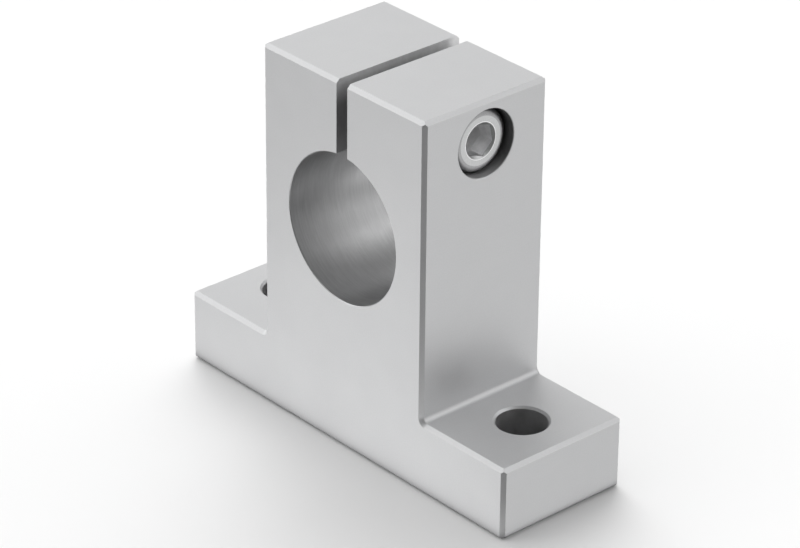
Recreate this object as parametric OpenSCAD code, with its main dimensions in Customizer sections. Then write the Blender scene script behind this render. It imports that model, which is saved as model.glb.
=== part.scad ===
// Upright support block that holds the end of a round shaft.
// A T-shaped aluminium block with a reamed bore, split from the bore to the top,
// and one socket head screw that pulls the two jaws of the split together.
// The bore runs along Y, the feet spread along X, Z is up. The origin is in the
// middle of the base's underside.

/* [Block] */
// Width over the two feet
block_w = 60; // [58:1:80]
// Length along the bore
block_l = 20; // [16:1:30]
// Height over all
block_h = 51; // [50:0.5:60]
// Thickness of the feet
foot_t = 10; // [6:0.5:12]
// Width of the upright
upright_w = 30; // [28:1:34]
// Bevel on the outer edges
edge_c = 0.5; // [0.2:0.1:0.8]
// Radius in the corners between the upright and the feet
root_r = 0.7; // [0.4:0.1:2]

/* [Shaft bore] */
// Diameter of the shaft that the bore takes
shaft_d = 20; // [16:0.5:21]
// Height of the bore's axis above the base
axis_h = 31; // [28:0.5:31.5]
// Width of the clamping slit
slit_w = 2; // [1:0.1:3]
// Bevel at the mouths of the bore
bore_c = 0.1; // [0.05:0.05:0.4]

/* [Mounting holes] */
// Distance between the two mounting holes
hole_pitch = 45; // [43:0.5:48]
// Diameter of the mounting holes
hole_d = 6.6; // [5.5:0.1:7]
// Bevel at the mouths of the mounting holes
hole_c = 0.3; // [0.1:0.05:0.4]

/* [Clamp screw] */
// Nominal diameter of the thread
screw_d = 5; // [4:0.5:5]
// Length under the head
screw_len = 20; // [16:1:22]
// Diameter of the head
head_d = 8.5; // [7:0.1:8.6]
// Height of the head
head_h = 5; // [4:0.1:5.4]
// Rounding of the head's outer edge
head_round = 0.85; // [0.2:0.05:0.9]
// Width across the flats of the hexagon socket
hex_af = 4; // [3:0.5:4]
// Depth of the hexagon socket
hex_depth = 2.5; // [2:0.1:3]
// Angle that the socket is turned to, as the screw stands
hex_turn = 12; // [0:1:59]
// Distance from the top of the block down to the screw's axis
screw_drop = 5.8; // [5.2:0.1:6]
// Depth of the head's outer end below the side of the upright
head_recess = 1; // [0.4:0.1:2]
// Play all round between the head and its counterbore
head_play = 0.25; // [0.2:0.05:0.4]
// Bevel at the mouths of the counterbore and of the tapped hole
screw_hole_c = 0.1; // [0.05:0.05:0.3]

/* [Hidden] */
$fn = 96;
eps = 0.5;                                // how far a cutter stands clear of the block
hw = block_w / 2;
hl = block_l / 2;
hu = upright_w / 2;
screw_z = block_h - screw_drop;
seat_x = hu - head_recess - head_h;       // bottom of the counterbore
cbore_r = head_d / 2 + head_play;
clear_r = screw_d / 2 + 0.25;             // plain hole through the near jaw
tap_r = screw_d / 2 + 0.05;               // tapped hole through the far jaw
tip_c = 0.8;                              // lead-in bevel at the screw's end

// Lays an XZ outline along Y, centred
module along_y(len) { rotate([90, 0, 0]) linear_extrude(height = len, center = true) children(); }

// Turns a shape drawn on Z so that it points along +X, from x
module on_x(x, z) { translate([x, 0, z]) rotate([0, 90, 0]) children(); }

// The triangle that a bevel of size c takes off a square corner at the origin
module bevel_section(c) {
    polygon([[-c - eps, eps], [eps, -c - eps], [eps, eps]]);
}

// A hole's mouth bevel: an outward-opening cone at height 0, pointing up
module mouth(r, c) { translate([0, 0, -c]) cylinder(h = c + eps, r1 = r, r2 = r + c + eps); }

// The T-shaped section, with rounded roots and bevelled outer corners
module section() {
    difference() {
        polygon([
            [-hw + edge_c, 0], [hw - edge_c, 0], [hw, edge_c],
            [hw, foot_t - edge_c], [hw - edge_c, foot_t],
            [hu + root_r, foot_t], [hu + root_r, foot_t + root_r], [hu, foot_t + root_r],
            [hu, block_h - edge_c], [hu - edge_c, block_h],
            [-hu + edge_c, block_h], [-hu, block_h - edge_c],
            [-hu, foot_t + root_r], [-hu - root_r, foot_t + root_r], [-hu - root_r, foot_t],
            [-hw + edge_c, foot_t], [-hw, foot_t - edge_c], [-hw, edge_c]
        ]);
        for (s = [-1, 1]) translate([s * (hu + root_r), foot_t + root_r]) circle(r = root_r);
    }
}

// Bevels on one half (+X) of the outline of the front face, y = +hl
module face_bevels() {
    // along X: underside, top, and the foot up to its root
    for (b = [[0, hw + eps, 0, 1], [0, hu + eps, block_h, -1], [hu + root_r, hw + eps, foot_t, -1]])
        translate([b[0], hl, b[2]]) mirror([0, 0, b[3] > 0 ? 1 : 0])
            rotate([90, 0, 90]) linear_extrude(height = b[1] - b[0]) bevel_section(edge_c);
    // along Z: the foot's end, and the upright from its root up
    translate([hw, hl, -eps]) linear_extrude(height = foot_t + 2 * eps) bevel_section(edge_c);
    translate([hu, hl, foot_t + root_r]) linear_extrude(height = block_h - foot_t - root_r + eps)
        bevel_section(edge_c);
    // round the root
    intersection() {
        translate([hu + root_r, hl, foot_t + root_r]) rotate([-90, 0, 0])
            mouth(root_r, edge_c);
        translate([hu + root_r - 4, hl - 2, foot_t + root_r - 4]) cube([4, 4, 4]);
    }
}

module support_block() {
    color([0.80, 0.81, 0.82]) difference() {
        along_y(block_l) section();
        for (sy = [0, 1], sx = [0, 1]) mirror([0, sy, 0]) mirror([sx, 0, 0]) face_bevels();
        // shaft bore and its mouths
        translate([0, 0, axis_h]) rotate([90, 0, 0]) {
            cylinder(h = block_l + 2 * eps, r = shaft_d / 2, center = true);
            for (s = [0, 1]) mirror([0, 0, s]) translate([0, 0, hl]) mouth(shaft_d / 2, bore_c);
        }
        // clamping slit
        translate([-slit_w / 2, -hl - eps, axis_h])
            cube([slit_w, block_l + 2 * eps, block_h - axis_h + eps]);
        // mounting holes
        for (s = [-1, 1]) translate([s * hole_pitch / 2, 0, 0]) {
            translate([0, 0, -eps]) cylinder(h = foot_t + 2 * eps, r = hole_d / 2);
            translate([0, 0, foot_t]) mouth(hole_d / 2, hole_c);
            mirror([0, 0, 1]) mouth(hole_d / 2, hole_c);
        }
        // counterbore, plain hole, and tapped hole for the clamp screw
        on_x(seat_x, screw_z) cylinder(h = hu - seat_x + eps, r = cbore_r);
        on_x(hu, screw_z) mouth(cbore_r, screw_hole_c);
        on_x(0, screw_z) cylinder(h = seat_x + eps, r = clear_r);
        on_x(-hu - eps, screw_z) cylinder(h = hu + eps, r = tap_r);
        translate([-hu, 0, screw_z]) rotate([0, -90, 0]) mouth(tap_r, screw_hole_c * 2);
    }
}

// Half section of the screw, on its own axis: the underside of the head at 0, head upward
module screw_section() {
    polygon([[0, -screw_len], [screw_d / 2 - tip_c, -screw_len], [screw_d / 2, -screw_len + tip_c],
        [screw_d / 2, 0], [head_d / 2, 0], [head_d / 2, head_h - head_round],
        [head_d / 2 - head_round, head_h - head_round], [head_d / 2 - head_round, head_h], [0, head_h]]);
    intersection() {
        translate([head_d / 2 - head_round, head_h - head_round]) circle(r = head_round);
        translate([head_d / 2 - head_round, head_h - head_round]) square(head_round);
    }
}

module clamp_screw() {
    color([0.70, 0.71, 0.72]) on_x(seat_x, screw_z) difference() {
        rotate_extrude() screw_section();
        rotate([0, 0, hex_turn]) translate([0, 0, head_h - hex_depth])
            cylinder(h = hex_depth + eps, r = hex_af / 2 / cos(30), $fn = 6);
    }
}

support_block();
clamp_screw();
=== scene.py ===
import math

import bmesh
import bpy
import numpy as np
from mathutils import Matrix, Vector


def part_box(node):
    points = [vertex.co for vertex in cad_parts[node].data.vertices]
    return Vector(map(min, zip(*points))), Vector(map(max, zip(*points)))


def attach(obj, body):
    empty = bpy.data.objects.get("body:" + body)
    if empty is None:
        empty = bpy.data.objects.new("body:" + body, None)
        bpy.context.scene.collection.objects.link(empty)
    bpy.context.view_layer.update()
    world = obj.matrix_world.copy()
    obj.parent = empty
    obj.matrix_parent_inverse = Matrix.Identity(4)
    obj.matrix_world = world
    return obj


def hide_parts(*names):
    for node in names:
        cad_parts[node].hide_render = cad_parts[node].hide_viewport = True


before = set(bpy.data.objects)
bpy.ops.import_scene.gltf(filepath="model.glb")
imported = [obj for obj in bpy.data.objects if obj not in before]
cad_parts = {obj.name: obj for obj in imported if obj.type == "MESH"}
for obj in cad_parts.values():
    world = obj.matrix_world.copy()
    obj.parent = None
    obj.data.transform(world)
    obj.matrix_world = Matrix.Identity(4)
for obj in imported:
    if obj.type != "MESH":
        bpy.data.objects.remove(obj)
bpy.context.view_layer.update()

MM = 0.001


# ---------------------------------------------------------------- sizes, in millimetres, from the CAD
lo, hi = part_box("support_block")
HW, HL, H = hi.x * 1e3, hi.y * 1e3, hi.z * 1e3          # half width, half length, height
slo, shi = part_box("clamp_screw")
SCREW_Z = (slo.z + shi.z) / 2 * 1e3
HEAD_TOP, TIP = shi.x * 1e3, slo.x * 1e3
HEAD_R = (shi.z - slo.z) / 2 * 1e3
FOOT, HU, EDGE, ROOT = 10.0, 15.0, 0.5, 0.7
BORE_R, AXIS_Z, BORE_C, SLIT = 10.0, 31.0, 0.1, 2.0
HOLE_X, HOLE_R, HOLE_C = 22.5, 3.3, 0.3
HEAD_H, SEAT_X = 5.0, 9.0
CBORE_R, CLEAR_R, TAP_R, MOUTH_C = 4.5, 2.75, 2.55, 0.1
PITCH, HEX_AF, HEX_DEPTH, HEX_TURN, HEAD_ROUND = 0.8, 4.0, 2.5, 12.0, 0.85


# ---------------------------------------------------------------- mesh helpers
def make(name, verts, faces):
    me = bpy.data.meshes.new(name)
    me.from_pydata([tuple(v) for v in verts], [], faces)
    ob = bpy.data.objects.new(name, me)
    bpy.context.scene.collection.objects.link(ob)
    bm = bmesh.new()
    bm.from_mesh(me)
    bmesh.ops.recalc_face_normals(bm, faces=bm.faces)
    bm.to_mesh(me)
    bm.free()
    return ob


def prism(name, outline, axis, a, b):
    """A closed outline in the plane across `axis`, extruded from a to b. Outline pairs are
    (y, z) across X, (x, z) across Y and (x, y) across Z."""
    def put(p, t):
        return {"X": (t, p[0], p[1]), "Y": (p[0], t, p[1]), "Z": (p[0], p[1], t)}[axis]
    n = len(outline)
    verts = [put(p, a) for p in outline] + [put(p, b) for p in outline]
    faces = [tuple(range(n)), tuple(range(2 * n - 1, n - 1, -1))]
    faces += [(i, i + n, (i + 1) % n + n, (i + 1) % n) for i in range(n)]
    return make(name, verts, faces)


def turned(name, axis, centre, rings, seg):
    """A solid of revolution. rings is a list of (distance along axis, radius); a radius of 0
    closes the end in a point."""
    verts, faces, rows = [], [], []
    for t, r in rings:
        if r == 0:
            rows.append([len(verts)])
            verts.append((t, 0, 0))
            continue
        rows.append(list(range(len(verts), len(verts) + seg)))
        for i in range(seg):
            a = 2 * math.pi * i / seg
            verts.append((t, r * math.cos(a), r * math.sin(a)))
    for p, q in zip(rows, rows[1:]):
        for i in range(seg):
            j = (i + 1) % seg
            if len(p) == 1:
                faces.append((p[0], q[i], q[j]))
            elif len(q) == 1:
                faces.append((p[i], q[0], p[j]))
            else:
                faces.append((p[i], q[i], q[j], p[j]))
    if len(rows[0]) > 1:
        faces.append(tuple(rows[0]))
    if len(rows[-1]) > 1:
        faces.append(tuple(reversed(rows[-1])))
    turn = {"X": lambda v: v, "Y": lambda v: (v[2], v[0], v[1]), "Z": lambda v: (v[1], v[2], v[0])}[axis]
    verts = [tuple(c + d for c, d in zip(turn(v), centre)) for v in verts]
    return make(name, verts, faces)


def boolean(ob, cutters, operation="DIFFERENCE"):
    for c in cutters:
        m = ob.modifiers.new("b", "BOOLEAN")
        m.operation, m.object, m.solver = operation, c, "MANIFOLD"
    apply(ob)
    for c in cutters:
        me = c.data
        bpy.data.objects.remove(c)
        bpy.data.meshes.remove(me)
    return ob


def apply(ob):
    bpy.context.view_layer.update()
    dg = bpy.context.evaluated_depsgraph_get()
    me = bpy.data.meshes.new_from_object(ob.evaluated_get(dg))
    old = ob.data
    ob.modifiers.clear()
    ob.data = me
    me.name = old.name
    bpy.data.meshes.remove(old)


def arc(cx, cz, r, a0, a1, n):
    return [(cx + r * math.cos(math.radians(a0 + (a1 - a0) * i / n)),
             cz + r * math.sin(math.radians(a0 + (a1 - a0) * i / n))) for i in range(n + 1)]


def corner_bevel(axis, a, b, edge, signs, c):
    """The prism that takes a bevel of size c off the edge at `edge`, whose outside lies along `signs`."""
    e = 0.5
    (p, q), (sp, sq) = edge, signs
    tri = [(p - sp * (c + e), q + sq * e), (p + sp * e, q - sq * (c + e)), (p + sp * e, q + sq * e)]
    return prism("cut", tri, axis, a, b)


def thread(name, r_major, r_minor, x0, x1, seg=48, crest=0.1, root=0.16):
    """A right-hand threaded rod along X through (0, 0, SCREW_Z), with plain discs closing it past both ends."""
    flank = (PITCH - crest - root) / 2
    prof = [(0.0, r_minor), (root, r_minor), (root + flank * 0.5, (r_minor + r_major) / 2),
            (root + flank, r_major), (root + flank + crest, r_major),
            (root + flank * 1.5 + crest, (r_minor + r_major) / 2)]
    m = len(prof)
    turns = int(math.ceil((x1 - x0) / PITCH)) + 2
    rows = turns * m + 1
    verts, faces = [], []
    for k in range(rows):
        for j in range(seg):
            a = 2 * math.pi * j / seg
            p, r = prof[k % m]
            x = x0 - PITCH + PITCH * (k // m) + p + PITCH * j / seg
            verts.append((x, r * math.cos(a), SCREW_Z + r * math.sin(a)))
    def v(k, j):
        if j == seg:
            k, j = k + m, 0
        return k * seg + j if k < rows else None
    for k in range(rows - 1):
        for j in range(seg):
            f = (v(k, j), v(k + 1, j), v(k + 1, j + 1), v(k, j + 1))
            if None not in f:
                faces.append(f)
    ob = make(name, verts, faces)
    bm = bmesh.new()
    bm.from_mesh(ob.data)
    bmesh.ops.delete(bm, geom=[w for w in bm.verts if not w.link_faces], context="VERTS")
    seen, loops = set(), []
    for e in bm.edges:
        if e.is_boundary and e not in seen:
            loop, todo = [], [e]
            while todo:
                g = todo.pop()
                if g in seen:
                    continue
                seen.add(g)
                loop.append(g)
                for w in g.verts:
                    todo += [h for h in w.link_edges if h.is_boundary and h not in seen]
            loops.append(loop)
    for loop in loops:
        xs = [w.co.x for g in loop for w in g.verts]
        end = min(xs) - 0.5 if sum(xs) / len(xs) < (x0 + x1) / 2 else max(xs) + 0.5
        tip = bm.verts.new((end, 0, SCREW_Z))
        for g in loop:
            bm.faces.new((g.verts[0], g.verts[1], tip))
    bmesh.ops.recalc_face_normals(bm, faces=bm.faces)
    bm.to_mesh(ob.data)
    bm.free()
    return ob


def tidy(ob, dissolve=True, near=2e-5):
    bm = bmesh.new()
    bm.from_mesh(ob.data)
    bmesh.ops.remove_doubles(bm, verts=bm.verts, dist=near)
    if dissolve:
        bmesh.ops.dissolve_limit(bm, angle_limit=math.radians(0.05), verts=bm.verts, edges=bm.edges)
    bm.to_mesh(ob.data)
    bm.free()


def finish_mesh(ob, angle=28):
    """To metres, smooth within curved faces, sharp at real edges."""
    ob.data.transform(Matrix.Scale(MM, 4))
    me = ob.data
    me.polygons.foreach_set("use_smooth", [True] * len(me.polygons))
    me.set_sharp_from_angle(angle=math.radians(angle))
    w = ob.modifiers.new("faces", "WEIGHTED_NORMAL")
    w.keep_sharp, w.weight = True, 60
    me.update()


# ---------------------------------------------------------------- the block
def build_block():
    half = ([(HW - EDGE, 0), (HW, EDGE), (HW, FOOT - EDGE), (HW - EDGE, FOOT)]
            + arc(HU + ROOT, FOOT + ROOT, ROOT, -90, -180, 20)
            + [(HU, H - EDGE), (HU - EDGE, H)])
    outline = half + [(-x, z) for x, z in reversed(half)]
    ob = prism("support_block_body", outline, "Y", -HL, HL)
    cuts = []
    for sy in (-1, 1):
        for sx in (-1, 1):
            cuts.append(corner_bevel("Z", -1, FOOT + 1, (sx * HW, sy * HL), (sx, sy), EDGE))
            cuts.append(corner_bevel("Z", FOOT + ROOT, H + 1, (sx * HU, sy * HL), (sx, sy), EDGE))
            x0, x1 = sorted((sx * (HU + ROOT), sx * (HW + 1)))
            cuts.append(corner_bevel("X", x0, x1, (sy * HL, FOOT), (sy, 1), EDGE))
            # the bevel that runs round the root, as a cone kept to its own quarter
            c = turned("cone", "Y", (sx * (HU + ROOT), 0, FOOT + ROOT),
                       [(sy * (HL - EDGE), ROOT), (sy * (HL + 0.5), ROOT + EDGE + 0.5)], 80)
            q = [(HU + ROOT, FOOT + ROOT), (HU - 3, FOOT + ROOT), (HU - 3, FOOT - 3), (HU + ROOT, FOOT - 3)]
            box = prism("quarter", [(sx * x, z) for x, z in q], "Y", sy * (HL - 2), sy * (HL + 2))
            cuts.append(boolean(c, [box], "INTERSECT"))
        cuts.append(corner_bevel("X", -HW - 1, HW + 1, (sy * HL, 0), (sy, -1), EDGE))
        cuts.append(corner_bevel("X", -HU - 1, HU + 1, (sy * HL, H), (sy, 1), EDGE))
    boolean(ob, cuts)
    e = 0.5
    bore = turned("bore", "Y", (0, 0, AXIS_Z),
                  [(-HL - e, BORE_R + BORE_C + e), (-HL + BORE_C, BORE_R), (HL - BORE_C, BORE_R),
                   (HL + e, BORE_R + BORE_C + e)], 240)
    slit = prism("slit", [(-SLIT / 2, AXIS_Z), (SLIT / 2, AXIS_Z), (SLIT / 2, H + 2), (-SLIT / 2, H + 2)],
                 "Y", -HL - 2, HL + 2)
    holes = [turned("hole", "Z", (s * HOLE_X, 0, 0),
                    [(-e, HOLE_R + HOLE_C + e), (HOLE_C, HOLE_R), (FOOT - HOLE_C, HOLE_R),
                     (FOOT + e, HOLE_R + HOLE_C + e)], 96) for s in (-1, 1)]
    seat = turned("seat", "X", (0, 0, SCREW_Z),
                  [(0, CLEAR_R), (SEAT_X, CLEAR_R), (SEAT_X, CBORE_R), (HU - MOUTH_C, CBORE_R),
                   (HU + e, CBORE_R + MOUTH_C + e)], 120)
    boolean(ob, [bore, slit, *holes, seat])
    tidy(ob)
    bev = ob.modifiers.new("socket_painted_light", "BEVEL")
    bev.width, bev.segments, bev.limit_method = 0.05, 2, "ANGLE"
    bev.angle_limit, bev.use_clamp_overlap = math.radians(25), True
    bev.miter_outer = "MITER_SHARP"
    apply(ob)
    # the tapped hole: its free stretch shows the thread
    tap = thread("tap", TAP_R, 2.1, -HU - 1.0, TIP - 0.2, crest=0.2, root=0.1)
    limit = turned("limit", "X", (0, 0, SCREW_Z), [(-HU - 0.7, 3.0), (TIP - 0.3, 3.0)], 64)
    boolean(tap, [limit], "INTERSECT")
    plain = turned("plain", "X", (0, 0, SCREW_Z), [(TIP - 0.35, TAP_R), (0, TAP_R)], 96)
    mouth = turned("mouth", "X", (0, 0, SCREW_Z), [(-HU - e, TAP_R + 0.2 + e), (-HU + 0.45, 2.1)], 96)
    boolean(ob, [tap, plain, mouth])
    tidy(ob, dissolve=False, near=1.5e-3)          # slivers that the bevel and the cuts leave
    return ob


# ---------------------------------------------------------------- the screw
def build_screw():
    seg, ridges = 432, 72
    rr = HEAD_ROUND
    prof = [(SEAT_X, 2.0, 0), (SEAT_X, HEAD_R - 0.25, 0), (SEAT_X + 0.06, HEAD_R - 0.12, 0)]
    prof += [(SEAT_X + 0.25, HEAD_R - 0.02, 0), (SEAT_X + 0.45, HEAD_R - 0.01, 1)]
    prof += [(SEAT_X + 0.45 + 3.4 * i / 6, HEAD_R - 0.01, 1) for i in range(1, 7)]
    prof += [(HEAD_TOP - rr, HEAD_R - 0.0, 0)]
    prof += [(HEAD_TOP - rr + rr * math.sin(math.radians(a)), HEAD_R - rr + rr * math.cos(math.radians(a)), 0)
             for a in range(9, 91, 9)]
    verts, faces, rows = [], [], []
    for x, r, k in prof:
        rows.append(len(verts))
        for i in range(seg):
            a = 2 * math.pi * i / seg
            d = k * 0.07 * (0.5 - 0.5 * math.cos(ridges * a)) ** 0.7
            verts.append((x, (r - d) * math.cos(a), SCREW_Z + (r - d) * math.sin(a)))
    for p, q in zip(rows, rows[1:]):
        faces += [(p + i, q + i, q + (i + 1) % seg, p + (i + 1) % seg) for i in range(seg)]
    faces.append(tuple(rows[0] + i for i in range(seg)))
    faces.append(tuple(rows[-1] + i for i in reversed(range(seg))))
    head = make("clamp_screw_body", verts, faces)
    hexagon = [(HEX_AF / 2 / math.cos(math.radians(30)) * math.cos(math.radians(60 * i)),
                HEX_AF / 2 / math.cos(math.radians(30)) * math.sin(math.radians(60 * i))) for i in range(6)]
    # the CAD turns the socket about its own axis, which points along +X: its X is -Z here and its Y is Y
    t = math.radians(HEX_TURN)
    hexagon = [(x * math.sin(t) + y * math.cos(t), SCREW_Z - (x * math.cos(t) - y * math.sin(t))) for x, y in hexagon]
    socket = prism("socket", hexagon, "X", HEAD_TOP - HEX_DEPTH, HEAD_TOP + 1)
    lead = turned("lead", "X", (0, 0, SCREW_Z), [(HEAD_TOP - 0.3, 1.95), (HEAD_TOP, 2.4), (HEAD_TOP + 0.3, 2.85)], 96)
    drill = turned("drill", "X", (0, 0, SCREW_Z), [(HEAD_TOP - HEX_DEPTH - 1.1, 0), (HEAD_TOP - HEX_DEPTH + 0.02, 1.95)], 96)
    boolean(head, [socket, lead, drill])
    rod = thread("rod", 2.49, 2.02, TIP - 0.5, SEAT_X - 0.6)
    limit = turned("limit", "X", (0, 0, SCREW_Z),
                   [(TIP, 1.85), (TIP + 0.7, 2.6), (SEAT_X - 1.5, 2.6), (SEAT_X - 0.9, 2.0)], 64)
    boolean(rod, [limit], "INTERSECT")
    neck = turned("neck", "X", (0, 0, SCREW_Z),
                  [(SEAT_X - 2.0, 1.99), (SEAT_X - 0.45, 1.99), (SEAT_X - 0.25, 2.05), (SEAT_X - 0.1, 2.18),
                   (SEAT_X - 0.02, 2.4), (SEAT_X + 0.3, 2.5)], 96)
    boolean(head, [neck, rod], "UNION")
    tidy(head, dissolve=False)
    return head


block = build_block()
finish_mesh(block)
screw = build_screw()
finish_mesh(screw, angle=32)
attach(block, "block")
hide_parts("support_block")
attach(screw, "screw")
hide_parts("clamp_screw")


# ---------------------------------------------------------------- materials
class Nodes:
    def __init__(self, name):
        self.mat = bpy.data.materials.new(name)
        self.mat.use_nodes = True
        self.tree = self.mat.node_tree
        self.tree.nodes.clear()
        self.out = self.add("ShaderNodeOutputMaterial")

    def add(self, kind, **values):
        n = self.tree.nodes.new(kind)
        for k, v in values.items():
            setattr(n, k, v)
        return n

    def link(self, a, b):
        self.tree.links.new(a, b)

    def math(self, op, a, b=None, c=None):
        n = self.add("ShaderNodeMath", operation=op)
        for i, v in enumerate((a, b, c)):
            if v is None:
                continue
            if isinstance(v, (int, float)):
                n.inputs[i].default_value = v
            else:
                self.link(v, n.inputs[i])
        return n.outputs[0]

    def ramp(self, value, lo, hi, to_lo, to_hi):
        n = self.add("ShaderNodeMapRange")
        self.link(value, n.inputs["Value"])
        for k, v in (("From Min", lo), ("From Max", hi), ("To Min", to_lo), ("To Max", to_hi)):
            n.inputs[k].default_value = v
        return n.outputs["Result"]

    def noise(self, vec, scale, detail=2.0, rough=0.5):
        n = self.add("ShaderNodeTexNoise")
        n.inputs["Scale"].default_value = scale
        n.inputs["Detail"].default_value = detail
        n.inputs["Roughness"].default_value = rough
        self.link(vec, n.inputs["Vector"])
        return n.outputs["Fac"]

    def split(self, vec):
        n = self.add("ShaderNodeSeparateXYZ")
        self.link(vec, n.inputs[0])
        return n.outputs

    def dist(self, a, b):
        return self.math("SQRT", self.math("ADD", self.math("MULTIPLY", a, a), self.math("MULTIPLY", b, b)))

    def inside(self, value, limit):
        return self.math("LESS_THAN", value, limit)

    def colour(self, fac, a, b):
        n = self.add("ShaderNodeMix", data_type="RGBA")
        self.link(fac, n.inputs[0])
        n.inputs[6].default_value, n.inputs[7].default_value = (*a, 1), (*b, 1)
        return n.outputs[2]

    def mixed(self, fac, a, b):
        n = self.add("ShaderNodeMix", data_type="RGBA")
        for s, v in ((0, fac), (6, a), (7, b)):
            self.link(v, n.inputs[s])
        return n.outputs[2]

    def blend(self, fac, a, b):
        n = self.add("ShaderNodeMix")
        for s, v in ((0, fac), (2, a), (3, b)):
            self.link(v, n.inputs[s])
        return n.outputs[0]

    def coords(self, stretch=(1, 1, 1)):
        """Object coordinates in millimetres, divided by `stretch`."""
        tc = self.add("ShaderNodeTexCoord")
        mp = self.add("ShaderNodeMapping")
        mp.inputs["Scale"].default_value = [1000 / s for s in stretch]
        self.link(tc.outputs["Object"], mp.inputs["Vector"])
        return mp.outputs["Vector"]


def aluminium():
    n = Nodes("aluminium_satin")
    p = n.add("ShaderNodeBsdfPrincipled")
    n.link(p.outputs[0], n.out.inputs["Surface"])
    p.inputs["Metallic"].default_value = 1.0
    at = n.coords()
    x, y, z = n.split(at)
    # where the tools have cut: screw's counterbore and hole, mounting holes, slit
    in_seat = n.math("MULTIPLY", n.inside(n.dist(y, n.math("SUBTRACT", z, SCREW_Z)), CBORE_R + 0.03),
                     n.inside(n.math("ABSOLUTE", x), HU - 0.02))
    in_hole = n.inside(n.dist(n.math("SUBTRACT", n.math("ABSOLUTE", x), HOLE_X), y), HOLE_R + 0.03)
    in_slit = n.math("MULTIPLY", n.inside(n.math("ABSOLUTE", x), SLIT / 2 + 0.02),
                     n.math("GREATER_THAN", z, AXIS_Z + BORE_R + 0.1))
    grain = n.noise(at, 5.0, 3.0, 0.6)                            # blasted grain, about 0.2 mm
    cloud = n.noise(at, 0.09, 3.0, 0.55)                          # slow drift of the anodised tone
    along = n.noise(n.coords((0.12, 6.0, 0.12)), 1.0, 3.0, 0.6)   # die lines, along Y
    rub = n.noise(n.coords((2.0, 1.1, 2.0)), 1.0, 4.0, 0.62)      # patches where the tools rubbed
    turned_x = n.noise(n.coords((0.10, 1.6, 1.6)), 1.0, 2.0, 0.5)   # rings round the screw's seat
    turned_z = n.noise(n.coords((1.6, 1.6, 0.14)), 1.0, 2.0, 0.5)   # rings down the mounting holes
    tone = n.math("ADD", n.math("MULTIPLY", cloud, 0.6), n.math("MULTIPLY", grain, 0.4))
    skin = n.colour(n.ramp(tone, 0.3, 0.7, 0.0, 1.0), (0.695, 0.698, 0.705), (0.765, 0.768, 0.773))
    patch = n.ramp(rub, 0.35, 0.65, 0.0, 1.0)
    drilled = n.colour(patch, (0.57, 0.57, 0.575), (0.65, 0.65, 0.655))
    # painted shade: the counterbore's wall is coloured near black for the shade inside the recess
    seat_painted_shading = n.colour(patch, (0.30, 0.30, 0.305), (0.36, 0.36, 0.365))
    # painted light: towards the bottom of the wall the colour goes back to the skin tone, as if lit from above
    painted_light_below = n.ramp(n.math("SUBTRACT", z, SCREW_Z), -4.6, -2.6, 1.0, 0.0)
    seat_painted_shading = n.mixed(n.math("MULTIPLY", painted_light_below, n.math("GREATER_THAN", x, SEAT_X)), seat_painted_shading, skin)
    # painted light and shade in the slit: a pale tone near the mouth and a dark one deeper down
    slit_painted_shading = n.colour(patch, (0.82, 0.822, 0.826), (0.90, 0.902, 0.906))
    slit_painted_shade = n.colour(patch, (0.44, 0.44, 0.445), (0.50, 0.50, 0.505))
    slit_painted_shading = n.mixed(n.ramp(z, H - 3.6, H - 0.6, 1.0, 0.0), slit_painted_shading, slit_painted_shade)     # painted shade: darker down the slit, with painted light near its mouth
    base = n.mixed(in_slit, n.mixed(in_seat, n.mixed(in_hole, skin, drilled), seat_painted_shading), slit_painted_shading)
    n.link(base, p.inputs["Base Color"])
    sat = n.ramp(n.math("ADD", n.math("MULTIPLY", cloud, 0.5), n.math("MULTIPLY", along, 0.5)), 0.3, 0.7, 0.53, 0.61)
    dry = n.ramp(rub, 0.3, 0.7, 0.46, 0.58)
    n.link(n.blend(n.math("MAXIMUM", in_seat, in_hole), sat, dry), p.inputs["Roughness"])
    bump = n.add("ShaderNodeBump")
    bump.inputs["Strength"].default_value = 0.35
    bump.inputs["Distance"].default_value = 0.00002
    fine = n.math("ADD", n.math("MULTIPLY", grain, 0.7), n.math("MULTIPLY", along, 0.3))
    height = n.blend(in_hole, n.blend(in_seat, fine, n.math("MULTIPLY", turned_x, 10.0)),
                     n.math("MULTIPLY", turned_z, 5.0))
    n.link(height, bump.inputs["Height"])
    n.link(bump.outputs[0], p.inputs["Normal"])
    return n.mat


def bored():
    """The shaft bore: rings left by the boring tool spread reflections along the bore, and little round it."""
    n = Nodes("aluminium_bored")
    p = n.add("ShaderNodeBsdfPrincipled")
    n.link(p.outputs[0], n.out.inputs["Surface"])
    p.inputs["Metallic"].default_value = 1.0
    p.inputs["Anisotropic"].default_value = 0.6
    along = n.add("ShaderNodeCombineXYZ")
    along.inputs[1].default_value = 1.0
    n.link(along.outputs[0], p.inputs["Tangent"])
    rings = n.noise(n.coords((4.0, 0.22, 4.0)), 1.0, 3.0, 0.6)
    rub = n.noise(n.coords((2.4, 0.9, 2.4)), 1.0, 4.0, 0.62)      # patches where the tool rubbed
    patch = n.ramp(n.math("ADD", n.math("MULTIPLY", rings, 0.5), n.math("MULTIPLY", rub, 0.5)), 0.38, 0.62, 0.0, 1.0)
    n.link(n.colour(patch, (0.48, 0.482, 0.486), (0.56, 0.562, 0.566)), p.inputs["Base Color"])
    n.link(n.ramp(rub, 0.3, 0.7, 0.36, 0.43), p.inputs["Roughness"])
    bump = n.add("ShaderNodeBump")
    bump.inputs["Strength"].default_value = 0.3
    bump.inputs["Distance"].default_value = 0.00002
    n.link(n.math("ADD", n.math("MULTIPLY", rings, 0.8), n.math("MULTIPLY", rub, 0.3)), bump.inputs["Height"])
    n.link(bump.outputs[0], p.inputs["Normal"])
    return n.mat


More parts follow.
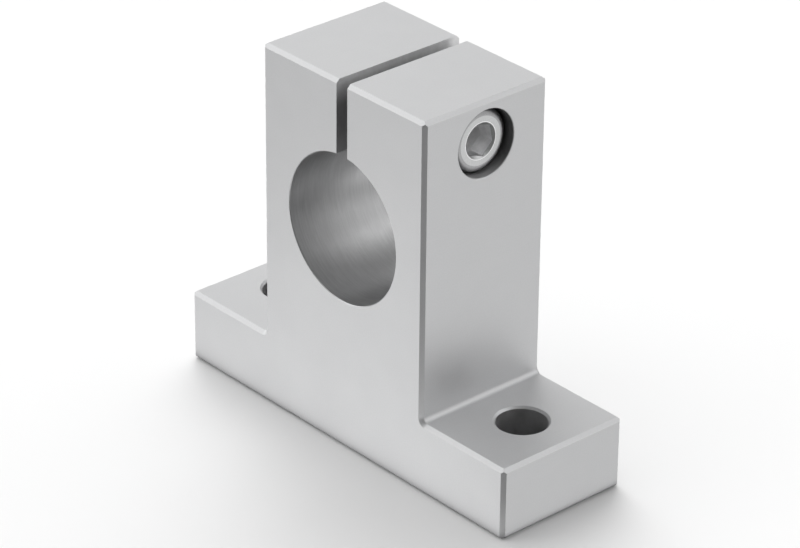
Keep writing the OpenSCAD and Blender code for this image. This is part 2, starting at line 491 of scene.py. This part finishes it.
def plated():
    n = Nodes("screw_plated")
    p = n.add("ShaderNodeBsdfPrincipled")
    n.link(p.outputs[0], n.out.inputs["Surface"])
    p.inputs["Metallic"].default_value = 1.0
    at = n.coords()
    x, y, z = n.split(at)
    r = n.dist(y, n.math("SUBTRACT", z, SCREW_Z))
    rim = n.math("GREATER_THAN", r, HEAD_R - HEAD_ROUND - 0.15)       # knurled side and rounded edge, and 0.15 mm of the flat face: painted shade of a wider rounding
    cone = n.math("MULTIPLY", n.math("GREATER_THAN", x, HEAD_TOP - 0.29), n.inside(r, 2.42))
    socket = n.inside(r, 2.5)
    grain = n.noise(at, 4.0, 3.0, 0.6)
    mottle = n.noise(at, 1.1, 3.0, 0.6)                           # the punched socket's patchy walls
    light = n.colour(n.ramp(grain, 0.3, 0.7, 0.0, 1.0), (0.51, 0.515, 0.515), (0.59, 0.595, 0.595))
    # painted shade: the rim's dark tone stands for the shading of the head's rounded edge
    rim_painted_shade = n.colour(n.ramp(grain, 0.3, 0.7, 0.0, 1.0), (0.32, 0.32, 0.325), (0.40, 0.40, 0.405))
    # painted light: the socket's walls are coloured near white, lifting the shade inside the socket
    socket_painted_light = n.colour(n.ramp(mottle, 0.35, 0.65, 0.0, 1.0), (0.84, 0.84, 0.845), (0.97, 0.97, 0.975))
    base = n.mixed(rim, n.mixed(socket, light, n.mixed(cone, socket_painted_light, light)), rim_painted_shade)
    n.link(base, p.inputs["Base Color"])
    n.link(n.ramp(grain, 0.3, 0.7, 0.34, 0.44), p.inputs["Roughness"])
    bump = n.add("ShaderNodeBump")
    bump.inputs["Strength"].default_value = 0.3
    bump.inputs["Distance"].default_value = 0.00001
    n.link(grain, bump.inputs["Height"])
    n.link(bump.outputs[0], p.inputs["Normal"])
    return n.mat


for ob, mats in ((block, (aluminium(), bored())), (screw, (plated(),))):
    ob.data.materials.clear()
    for mat in mats:
        ob.data.materials.append(mat)
for f in block.data.polygons:
    x, z = f.center.x / MM, f.center.z / MM - AXIS_Z
    reach = math.hypot(x, z)
    facing = (f.normal.x * x + f.normal.z * z) / max(reach, 1e-6)
    f.material_index = 1 if reach < BORE_R + BORE_C + 0.05 and facing < -0.2 else 0
for name, mat in (("support_block", block.data.materials[0]), ("clamp_screw", screw.data.materials[0])):
    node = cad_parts[name]
    for s in node.material_slots:
        s.material = mat


# ---------------------------------------------------------------- floor, light and camera
def floor():
    n = Nodes("floor_white")
    p = n.add("ShaderNodeBsdfDiffuse")
    p.inputs["Color"].default_value = (0.9, 0.9, 0.9, 1)
    n.link(p.outputs[0], n.out.inputs["Surface"])
    s = 6.0
    ob = make("floor", [(-s, -s, 0), (s, -s, 0), (s, s, 0), (-s, s, 0)], [(0, 1, 2, 3)])
    ob.data.materials.append(n.mat)
    ob.visible_glossy = False          # the metal sees the studio's light instead
    # three sheets on the floor that only the metal sees: the dark one straight under the block, a painted shadow
    # for the shade beneath it, a black one before it, and on that a pale card, which lights the front face's foot
    # more than its top
    u, v = HW + 1, HL + 1
    # painted shadow: a near-black sheet under the block, standing for the shade the metal's reflections see there
    card("under_painted_shadow", [(-u, -v), (u, -v), (u, v), (-u, v)], UNDER_SHADOW)
    card("front_dark", [(-130, -90), (26, -90), (26, -v), (-130, -v)], 0.0, depth=0.04)
    card("front_card", [(-102, -70), (13, -70), (33, -v), (-102, -v)], FRONT, fade=(-102, -38))


def card(name, corners, strength, depth=0.02, fade=None):
    n = Nodes(name)
    e = n.add("ShaderNodeEmission")
    e.inputs["Strength"].default_value = strength
    if fade:                           # along X, from nothing at the first place to full at the second
        n.link(n.ramp(n.split(n.coords())[0], *fade, 0.0, 1.0), e.inputs["Color"])
    n.link(e.outputs[0], n.out.inputs["Surface"])
    n.mat.cycles.emission_sampling = "NONE"        # reached by reflected rays alone
    ob = make(name, [(x * MM, y * MM, -depth * MM) for x, y in corners], [(0, 1, 2, 3)])
    ob.data.materials.append(n.mat)
    ob.visible_camera = ob.visible_diffuse = ob.visible_shadow = ob.visible_transmission = False


UNDER_SHADOW, FRONT = 0.06, 0.94
floor()

# the studio: a pale dome and soft lights, each (azimuth from +X, elevation, sharpness, strength)
STUDIO = [
    (180, 32, 8, 1.84), (22, -28, 30, 1.80), (-126, 0, 8, 1.77), (138, 28, 30, 1.55), (51, 41, 30, 1.41),
    (38, 12, 30, 1.36), (42, -28, 30, 0.95), (-144, 27, 8, 0.87), (72, 58, 8, 0.46), (42, -10, 30, 0.46),
    (36, 32, 8, 0.42), (72, 27, 8, 0.41), (42, -46, 30, 0.26), (140, -30, 16, 0.80),
]
FLOOR_LIGHT = [
    (144, 26.6, 8, 6.277), (90, 0, 8, 2.802), (-144, 58.3, 8, 1.803), (54, 0, 8, 1.619), (-126, 0, 8, 1.329),
    (0, 26.6, 8, 1.007), (-54, 0, 8, 0.847), (-72, 58.3, 8, 0.695), (144, 58.3, 8, 0.658), (108, 31.7, 8, 0.233),
]
DOME = 0.22


def studio():
    world = bpy.data.worlds.new("studio")
    bpy.context.scene.world = world
    world.use_nodes = True
    world.cycles.sampling_method = "NONE"
    t = world.node_tree
    t.nodes.clear()
    out = t.nodes.new("ShaderNodeOutputWorld")
    bg = t.nodes.new("ShaderNodeBackground")
    t.links.new(bg.outputs[0], out.inputs[0])
    tc = t.nodes.new("ShaderNodeTexCoord")

    def total(lights, base):
        acc = None
        for az, el, sharp, w in lights:
            a, e = math.radians(az), math.radians(el)
            dot = t.nodes.new("ShaderNodeVectorMath")
            dot.operation = "DOT_PRODUCT"
            t.links.new(tc.outputs["Generated"], dot.inputs[0])
            dot.inputs[1].default_value = (math.cos(a) * math.cos(e), math.sin(a) * math.cos(e), math.sin(e))
            pos = t.nodes.new("ShaderNodeMath")
            pos.operation = "MAXIMUM"
            t.links.new(dot.outputs["Value"], pos.inputs[0])
            pos.inputs[1].default_value = 0
            pw = t.nodes.new("ShaderNodeMath")
            pw.operation = "POWER"
            t.links.new(pos.outputs[0], pw.inputs[0])
            pw.inputs[1].default_value = sharp
            add = t.nodes.new("ShaderNodeMath")
            add.operation = "MULTIPLY_ADD"
            t.links.new(pw.outputs[0], add.inputs[0])
            add.inputs[1].default_value = w
            if acc is None:
                add.inputs[2].default_value = base
            else:
                t.links.new(acc, add.inputs[2])
            acc = add.outputs[0]
        return acc

    # the metal's light and the floor's light are set apart
    path = t.nodes.new("ShaderNodeLightPath")
    mix = t.nodes.new("ShaderNodeMix")
    t.links.new(path.outputs["Is Diffuse Ray"], mix.inputs[0])
    t.links.new(total(STUDIO, DOME), mix.inputs[2])
    t.links.new(total(FLOOR_LIGHT, 0), mix.inputs[3])
    see = t.nodes.new("ShaderNodeMix")
    t.links.new(path.outputs["Is Camera Ray"], see.inputs[0])
    t.links.new(mix.outputs[0], see.inputs[2])
    see.inputs[3].default_value = 1.1
    t.links.new(see.outputs[0], bg.inputs["Strength"])


studio()

CAM = dict(f=3813.862, az=48.32, el=28.368, roll=0.554, tx=0.062, ty=-18.695, dist=489.635)
a, e, r = (math.radians(CAM[k]) for k in ("az", "el", "roll"))
back = Vector((math.sin(a) * math.cos(e), -math.cos(a) * math.cos(e), math.sin(e)))
right = Vector((math.cos(a), math.sin(a), 0))
up = back.cross(right)
right2 = right * math.cos(r) + up * math.sin(r)
up2 = -right * math.sin(r) + up * math.cos(r)
cam = bpy.data.cameras.new("camera")
cam.sensor_width = 36
cam.lens = CAM["f"] / 800 * 36
cam.clip_start, cam.clip_end = 0.05, 50
camera = bpy.data.objects.new("camera", cam)
bpy.context.scene.collection.objects.link(camera)
at = (back * CAM["dist"] - right2 * CAM["tx"] - up2 * CAM["ty"]) * MM
m = Matrix((right2, up2, back)).transposed().to_4x4()
m.translation = at
camera.matrix_world = m
bpy.context.scene.camera = camera
bpy.context.scene.view_settings.view_transform = "Standard"
